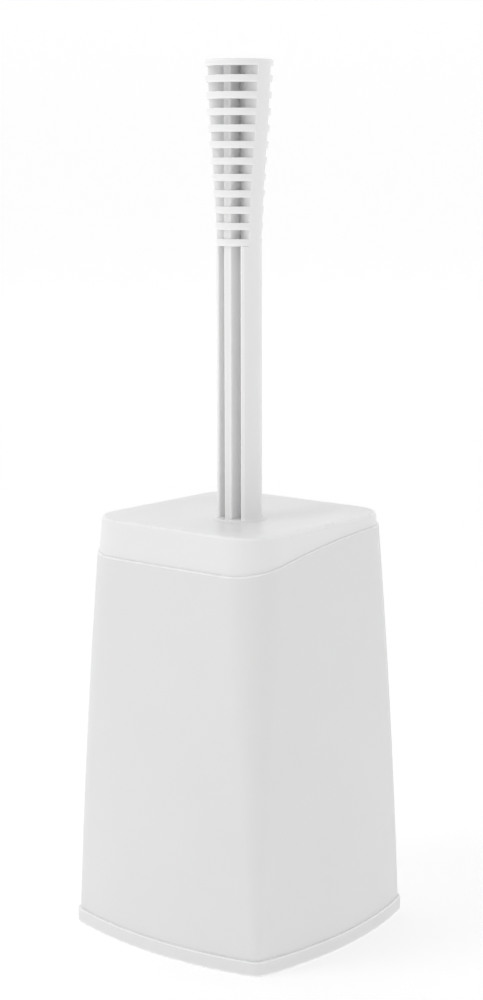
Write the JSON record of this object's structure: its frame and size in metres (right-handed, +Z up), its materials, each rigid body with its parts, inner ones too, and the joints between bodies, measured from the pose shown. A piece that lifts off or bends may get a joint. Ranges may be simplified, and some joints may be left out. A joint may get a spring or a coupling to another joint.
{
  "type": "toilet brush with holder",
  "caption": "White toilet brush standing in a tapered square holder, with a dished lid on the brush and a flaring finned grip.",
  "frame": {"origin": "on the floor under the middle of the holder", "axes": "+Z up along the handle, -Y towards the front, where the lid's skirt is deepest and level, +X to the right seen from the front"},
  "size_m": [0.12, 0.12, 0.3794],
  "materials": {
    "shell_plastic": "white injection-moulded polypropylene, fine matt grain",
    "lid_plastic": "white injection-moulded polypropylene, satin",
    "handle_plastic": "white injection-moulded polypropylene, satin",
    "core_plastic": "white moulded polypropylene",
    "cup_plastic": "pale grey moulded polypropylene",
    "bristle": "white crimped bristle filament"
  },
  "bodies": {
    "holder": {"container_shell": "shell_plastic", "base_pan": "shell_plastic", "drip_cup": "cup_plastic"},
    "brush": {"lid": "lid_plastic", "handle": "handle_plastic", "brush_core": "core_plastic", "tuft_row_01": "bristle", "tuft_row_02": "bristle", "tuft_row_03": "bristle", "tuft_row_04": "bristle", "tuft_row_05": "bristle", "tuft_row_06": "bristle", "tuft_row_07": "bristle", "tuft_row_08": "bristle", "tuft_row_09": "bristle", "tuft_row_10": "bristle", "tuft_end": "bristle"}
  },
  "joints": [
    {"name": "brush_lift", "type": "slide", "parent": "holder", "child": "brush", "axis": [0, 0, 1], "range_m": [0, 0.18]}
  ]
}
